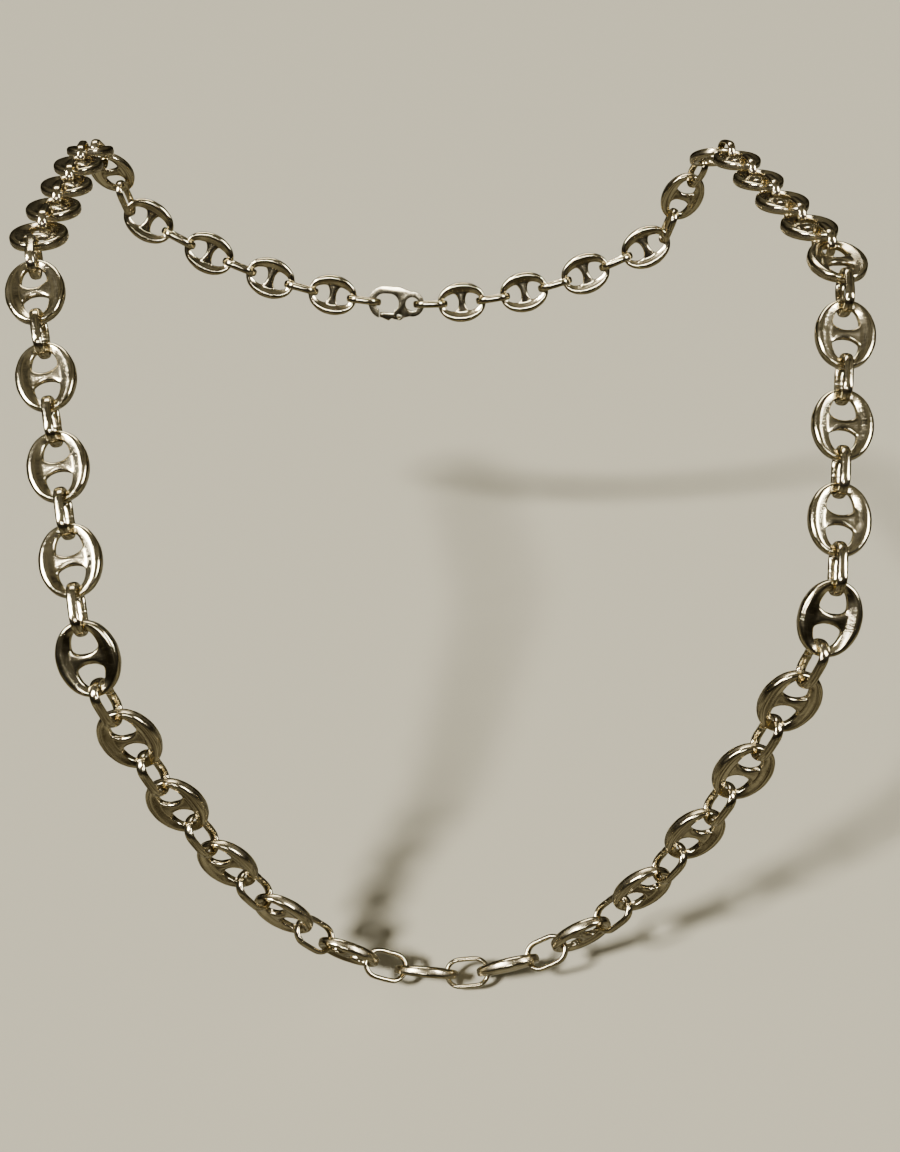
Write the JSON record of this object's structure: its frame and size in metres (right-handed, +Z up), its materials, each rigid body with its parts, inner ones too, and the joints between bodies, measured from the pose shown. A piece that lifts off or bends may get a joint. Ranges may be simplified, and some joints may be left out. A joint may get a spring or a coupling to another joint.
{
  "type": "chain necklace",
  "caption": "Puffed mariner chain necklace of barred oval links and plain oval rings with a claw clasp, draped in a long swag.",
  "frame": {"origin": "midway between the two strands where they cross the top front edge of what they lie on", "axes": "+X along that edge from the left strand to the right one, +Y away from the wearer towards the clasp, +Z up"},
  "size_m": [0.136, 0.1304, 0.1131],
  "materials": {
    "polished_metal": "mirror polish, pale warm tone, fine wear scratches",
    "clasp_metal": "polished, slightly duller than the links"
  },
  "bodies": {
    "swag_upper": {"left_ring_06": "polished_metal", "right_ring_07": "polished_metal"},
    "swag_middle": {"left_ring_04": "polished_metal", "right_ring_05": "polished_metal"},
    "swag_lower": {"left_ring_02": "polished_metal", "right_ring_03": "polished_metal"},
    "left_link_01": {"left_link_01": "polished_metal"},
    "left_link_02": {"left_link_02": "polished_metal"},
    "left_link_03": {"left_link_03": "polished_metal"},
    "left_link_04": {"left_link_04": "polished_metal"},
    "left_link_05": {"left_link_05": "polished_metal"},
    "left_link_06": {"left_link_06": "polished_metal"},
    "left_link_07": {"left_link_07": "polished_metal"},
    "left_link_08": {"left_link_08": "polished_metal"},
    "left_link_09": {"left_link_09": "polished_metal"},
    "left_link_10": {"left_link_10": "polished_metal"},
    "left_link_11": {"left_link_11": "polished_metal"},
    "left_ring_01": {"left_ring_01": "polished_metal"},
    "left_ring_03": {"left_ring_03": "polished_metal"},
    "left_ring_05": {"left_ring_05": "polished_metal"},
    "left_ring_07": {"left_ring_07": "polished_metal"},
    "left_ring_08": {"left_ring_08": "polished_metal"},
    "left_ring_09": {"left_ring_09": "polished_metal"},
    "left_ring_10": {"left_ring_10": "polished_metal"},
    "left_ring_11": {"left_ring_11": "polished_metal"},
    "right_link_01": {"right_link_01": "polished_metal"},
    "right_link_02": {"right_link_02": "polished_metal"},
    "right_link_03": {"right_link_03": "polished_metal"},
    "right_link_04": {"right_link_04": "polished_metal"},
    "right_link_05": {"right_link_05": "polished_metal"},
    "right_link_06": {"right_link_06": "polished_metal"},
    "right_link_07": {"right_link_07": "polished_metal"},
    "right_link_08": {"right_link_08": "polished_metal"},
    "right_link_09": {"right_link_09": "polished_metal"},
    "right_link_10": {"right_link_10": "polished_metal"},
    "right_link_11": {"right_link_11": "polished_metal"},
    "right_ring_01": {"right_ring_01": "polished_metal"},
    "right_ring_02": {"right_ring_02": "polished_metal"},
    "right_ring_04": {"right_ring_04": "polished_metal"},
    "right_ring_06": {"right_ring_06": "polished_metal"},
    "right_ring_08": {"right_ring_08": "polished_metal"},
    "right_ring_09": {"right_ring_09": "polished_metal"},
    "right_ring_10": {"right_ring_10": "polished_metal"},
    "right_ring_11": {"right_ring_11": "polished_metal"},
    "bottom_link": {"bottom_link": "polished_metal"},
    "left_shoulder_1": {"left_shoulder_1": "polished_metal"},
    "left_shoulder_2": {"left_shoulder_2": "polished_metal"},
    "left_shoulder_3": {"left_shoulder_3": "polished_metal"},
    "left_shoulder_4": {"left_shoulder_4": "polished_metal"},
    "right_shoulder_1": {"right_shoulder_1": "polished_metal"},
    "right_shoulder_2": {"right_shoulder_2": "polished_metal"},
    "right_shoulder_3": {"right_shoulder_3": "polished_metal"},
    "right_shoulder_4": {"right_shoulder_4": "polished_metal"},
    "right_shoulder_5": {"right_shoulder_5": "polished_metal"},
    "end_ring": {"end_ring": "polished_metal"},
    "clasp_lever": {"clasp_lever": "clasp_metal"},
    "back_run": {"back_run_left": "polished_metal", "back_run_right": "polished_metal", "clasp_body": "polished_metal", "clasp_rivet": "clasp_metal"}
  },
  "joints": [
    {"name": "swing_upper", "type": "hinge", "parent": "back_run", "child": "swag_upper", "pos_m": [0.00325, -0.0448, -0.04115], "axis": [0.9985, 0.0304, 0.0455], "range_deg": [-45, 0]},
    {"name": "swing_middle", "type": "hinge", "parent": "swag_upper", "child": "swag_middle", "pos_m": [0.00352, -0.04479, -0.06755], "axis": [0.9981, 0.0303, 0.0536], "range_deg": [-25, 20]},
    {"name": "swing_lower", "type": "hinge", "parent": "swag_middle", "child": "swag_lower", "pos_m": [0.00408, -0.04478, -0.0917], "axis": [0.9971, 0.0303, 0.0693], "range_deg": [-25, 18]},
    {"name": "left_link_01_roll", "type": "hinge", "parent": "swag_lower", "child": "left_link_01", "pos_m": [-0.0146, -0.04534, -0.10013], "axis": [0.8054, 0.0245, -0.5923], "range_deg": [-18, 18]},
    {"name": "left_link_02_roll", "type": "hinge", "parent": "swag_middle", "child": "left_link_02", "pos_m": [-0.02449, -0.04564, -0.09034], "axis": [0.6134, 0.0186, -0.7896], "range_deg": [-18, 18]},
    {"name": "left_link_03_roll", "type": "hinge", "parent": "swag_middle", "child": "left_link_03", "pos_m": [-0.03209, -0.04587, -0.07862], "axis": [0.4776, 0.0145, -0.8784], "range_deg": [-18, 18]},
    {"name": "left_link_04_roll", "type": "hinge", "parent": "swag_upper", "child": "left_link_04", "pos_m": [-0.0381, -0.04606, -0.06599], "axis": [0.3858, 0.0117, -0.9225], "range_deg": [-18, 18]},
    {"name": "left_link_05_roll", "type": "hinge", "parent": "swag_upper", "child": "left_link_05", "pos_m": [-0.04304, -0.04621, -0.05289], "axis": [0.3217, 0.0098, -0.9468], "range_deg": [-18, 18]},
    {"name": "left_link_06_roll", "type": "hinge", "parent": "back_run", "child": "left_link_06", "pos_m": [-0.04699, -0.0447, -0.03982], "axis": [0.2204, -0.3984, -0.8903], "range_deg": [-4, 8]},
    {"name": "left_link_07_roll", "type": "hinge", "parent": "back_run", "child": "left_link_07", "pos_m": [-0.04998, -0.03574, -0.02983], "axis": [0.2108, -0.7371, -0.642], "range_deg": [-18, 18]},
    {"name": "left_link_08_roll", "type": "hinge", "parent": "back_run", "child": "left_link_08", "pos_m": [-0.05293, -0.02542, -0.02084], "axis": [0.2108, -0.7371, -0.642], "range_deg": [-18, 18]},
    {"name": "left_link_09_roll", "type": "hinge", "parent": "back_run", "child": "left_link_09", "pos_m": [-0.05588, -0.0151, -0.01185], "axis": [0.2108, -0.7371, -0.642], "range_deg": [-18, 18]},
    {"name": "left_link_10_roll", "type": "hinge", "parent": "back_run", "child": "left_link_10", "pos_m": [-0.05881, -0.0046, -0.00308], "axis": [0.2064, -0.7809, -0.5895], "range_deg": [-18, 18]},
    {"name": "left_link_11_roll", "type": "hinge", "parent": "back_run", "child": "left_link_11", "pos_m": [-0.06118, 0.00811, 0.00119], "axis": [0.1272, -0.9915, -0.0274], "range_deg": [-18, 18]},
    {"name": "left_ring_01_roll", "type": "hinge", "parent": "swag_lower", "child": "left_ring_01", "pos_m": [-0.00865, -0.04516, -0.10376], "axis": [0.9083, 0.0276, -0.4174], "range_deg": [-18, 18]},
    {"name": "left_ring_03_roll", "type": "hinge", "parent": "swag_middle", "child": "left_ring_03", "pos_m": [-0.02856, -0.04577, -0.08466], "axis": [0.5388, 0.0164, -0.8423], "range_deg": [-18, 18]},
    {"name": "left_ring_05_roll", "type": "hinge", "parent": "swag_upper", "child": "left_ring_05", "pos_m": [-0.0407, -0.04614, -0.05949], "axis": [0.3511, 0.0107, -0.9363], "range_deg": [-18, 18]},
    {"name": "left_ring_07_roll", "type": "hinge", "parent": "back_run", "child": "left_ring_07", "pos_m": [-0.0485, -0.0409, -0.03432], "axis": [0.2108, -0.7371, -0.642], "range_deg": [-14, 14]},
    {"name": "left_ring_08_roll", "type": "hinge", "parent": "back_run", "child": "left_ring_08", "pos_m": [-0.05145, -0.03058, -0.02533], "axis": [0.2108, -0.7371, -0.642], "range_deg": [-18, 18]},
    {"name": "left_ring_09_roll", "type": "hinge", "parent": "back_run", "child": "left_ring_09", "pos_m": [-0.05441, -0.02026, -0.01635], "axis": [0.2108, -0.7371, -0.642], "range_deg": [-18, 18]},
    {"name": "left_ring_10_roll", "type": "hinge", "parent": "back_run", "child": "left_ring_10", "pos_m": [-0.05736, -0.00994, -0.00736], "axis": [0.2108, -0.7371, -0.642], "range_deg": [-18, 18]},
    {"name": "left_ring_11_roll", "type": "hinge", "parent": "back_run", "child": "left_ring_11", "pos_m": [-0.06016, 0.00133, 0.00019], "axis": [0.1715, -0.9385, -0.2995], "range_deg": [-18, 18]},
    {"name": "right_link_01_roll", "type": "hinge", "parent": "swag_lower", "child": "right_link_01", "pos_m": [0.01166, -0.04454, -0.10451], "axis": [0.938, 0.0285, 0.3455], "range_deg": [-18, 18]},
    {"name": "right_link_02_roll", "type": "hinge", "parent": "swag_lower", "child": "right_link_02", "pos_m": [0.0234, -0.04419, -0.09718], "axis": [0.7357, 0.0224, 0.677], "range_deg": [-18, 18]},
    {"name": "right_link_03_roll", "type": "hinge", "parent": "swag_middle", "child": "right_link_03", "pos_m": [0.03244, -0.04391, -0.08656], "axis": [0.5618, 0.0171, 0.8271], "range_deg": [-18, 18]},
    {"name": "right_link_04_roll", "type": "hinge", "parent": "swag_middle", "child": "right_link_04", "pos_m": [0.03943, -0.0437, -0.07446], "axis": [0.4429, 0.0135, 0.8965], "range_deg": [-18, 18]},
    {"name": "right_link_05_roll", "type": "hinge", "parent": "swag_upper", "child": "right_link_05", "pos_m": [0.04505, -0.04353, -0.06164], "axis": [0.3619, 0.011, 0.9322], "range_deg": [-18, 18]},
    {"name": "right_link_06_roll", "type": "hinge", "parent": "swag_upper", "child": "right_link_06", "pos_m": [0.0497, -0.04339, -0.04844], "axis": [0.3045, 0.0093, 0.9525], "range_deg": [-18, 18]},
    {"name": "right_link_07_roll", "type": "hinge", "parent": "back_run", "child": "right_link_07", "pos_m": [0.05344, -0.04158, -0.03536], "axis": [-0.2097, -0.4276, -0.8793], "range_deg": [-8, 4]},
    {"name": "right_link_08_roll", "type": "hinge", "parent": "back_run", "child": "right_link_08", "pos_m": [0.05544, -0.03244, -0.02525], "axis": [-0.1156, -0.7439, -0.6582], "range_deg": [-18, 18]},
    {"name": "right_link_09_roll", "type": "hinge", "parent": "back_run", "child": "right_link_09", "pos_m": [0.05706, -0.02202, -0.01604], "axis": [-0.1156, -0.7439, -0.6582], "range_deg": [-18, 18]},
    {"name": "right_link_10_roll", "type": "hinge", "parent": "back_run", "child": "right_link_10", "pos_m": [0.05868, -0.01161, -0.00683], "axis": [-0.1156, -0.7439, -0.6582], "range_deg": [-18, 18]},
    {"name": "right_link_11_roll", "type": "hinge", "parent": "back_run", "child": "right_link_11", "pos_m": [0.05958, 0.00028, -0.0001], "axis": [0.0142, -0.9797, -0.1998], "range_deg": [-18, 18]},
    {"name": "right_ring_01_roll", "type": "hinge", "parent": "swag_lower", "child": "right_ring_01", "pos_m": [0.00493, -0.04475, -0.10618], "axis": [0.9953, 0.0303, 0.092], "range_deg": [-18, 18]},
    {"name": "right_ring_02_roll", "type": "hinge", "parent": "swag_lower", "child": "right_ring_02", "pos_m": [0.01794, -0.04435, -0.10151], "axis": [0.8404, 0.0255, 0.5414], "range_deg": [-18, 18]},
    {"name": "right_ring_04_roll", "type": "hinge", "parent": "swag_middle", "child": "right_ring_04", "pos_m": [0.03617, -0.0438, -0.08065], "axis": [0.4965, 0.0151, 0.8679], "range_deg": [-18, 18]},
    {"name": "right_ring_06_roll", "type": "hinge", "parent": "swag_upper", "child": "right_ring_06", "pos_m": [0.04749, -0.04346, -0.05508], "axis": [0.3309, 0.0101, 0.9436], "range_deg": [-18, 18]},
    {"name": "right_ring_08_roll", "type": "hinge", "parent": "back_run", "child": "right_ring_08", "pos_m": [0.05463, -0.03764, -0.02986], "axis": [-0.1156, -0.7438, -0.6583], "range_deg": [-12, 12]},
    {"name": "right_ring_09_roll", "type": "hinge", "parent": "back_run", "child": "right_ring_09", "pos_m": [0.05625, -0.02723, -0.02065], "axis": [-0.1156, -0.7439, -0.6582], "range_deg": [-18, 18]},
    {"name": "right_ring_10_roll", "type": "hinge", "parent": "back_run", "child": "right_ring_10", "pos_m": [0.05787, -0.01682, -0.01143], "axis": [-0.1156, -0.7439, -0.6582], "range_deg": [-18, 18]},
    {"name": "right_ring_11_roll", "type": "hinge", "parent": "back_run", "child": "right_ring_11", "pos_m": [0.05939, -0.00614, -0.00254], "axis": [-0.0827, -0.8314, -0.5494], "range_deg": [-18, 18]},
    {"name": "bottom_link_roll", "type": "hinge", "parent": "swag_lower", "child": "bottom_link", "pos_m": [-0.00199, -0.04496, -0.10573], "axis": [0.9831, 0.0299, -0.1805], "range_deg": [-18, 18]},
    {"name": "left_shoulder_1_roll", "type": "hinge", "parent": "back_run", "child": "left_shoulder_1", "pos_m": [-0.06255, 0.01905, 0.0013], "axis": [0.1222, -0.9925, 0], "range_deg": [-18, 18]},
    {"name": "left_shoulder_2_roll", "type": "hinge", "parent": "back_run", "child": "left_shoulder_2", "pos_m": [-0.06426, 0.03295, 0.0013], "axis": [0.1222, -0.9925, 0], "range_deg": [-18, 18]},
    {"name": "left_shoulder_3_roll", "type": "hinge", "parent": "back_run", "child": "left_shoulder_3", "pos_m": [-0.06596, 0.04684, 0.0013], "axis": [0.1222, -0.9925, 0], "range_deg": [-18, 18]},
    {"name": "left_shoulder_4_roll", "type": "hinge", "parent": "back_run", "child": "left_shoulder_4", "pos_m": [-0.06749, 0.06069, 0.00057], "axis": [0.096, -0.9898, 0.1049], "range_deg": [-8, 8]},
    {"name": "right_shoulder_1_roll", "type": "hinge", "parent": "back_run", "child": "right_shoulder_1", "pos_m": [0.05906, 0.01121, 0.0007], "axis": [0.0652, -0.9979, 0], "range_deg": [-18, 18]},
    {"name": "right_shoulder_2_roll", "type": "hinge", "parent": "back_run", "child": "right_shoulder_2", "pos_m": [0.05815, 0.02518, 0.0007], "axis": [0.0652, -0.9979, 0], "range_deg": [-18, 18]},
    {"name": "right_shoulder_3_roll", "type": "hinge", "parent": "back_run", "child": "right_shoulder_3", "pos_m": [0.05724, 0.03915, 0.0007], "axis": [0.0652, -0.9979, 0], "range_deg": [-18, 18]},
    {"name": "right_shoulder_4_roll", "type": "hinge", "parent": "back_run", "child": "right_shoulder_4", "pos_m": [0.05632, 0.05312, 0.00067], "axis": [0.0665, -0.9978, 0.0043], "range_deg": [-12, 12]},
    {"name": "right_shoulder_5_roll", "type": "hinge", "parent": "back_run", "child": "right_shoulder_5", "pos_m": [0.05476, 0.06654, -0.00161], "axis": [0.1579, -0.9325, 0.3249], "range_deg": [-8, 8]},
    {"name": "end_ring_roll", "type": "hinge", "parent": "back_run", "child": "end_ring", "pos_m": [-0.01716, 0.0789, -0.03513], "axis": [0.9906, 0.0036, -0.1368], "range_deg": [-6, 6]},
    {"name": "clasp_lever_hinge", "type": "hinge", "parent": "back_run", "child": "clasp_lever", "pos_m": [-0.00934, 0.07814, -0.03847], "axis": [0.0206, -0.958, 0.2862], "range_deg": [-25, 0], "stiffness_Nm_per_rad": 0.004}
  ]
}
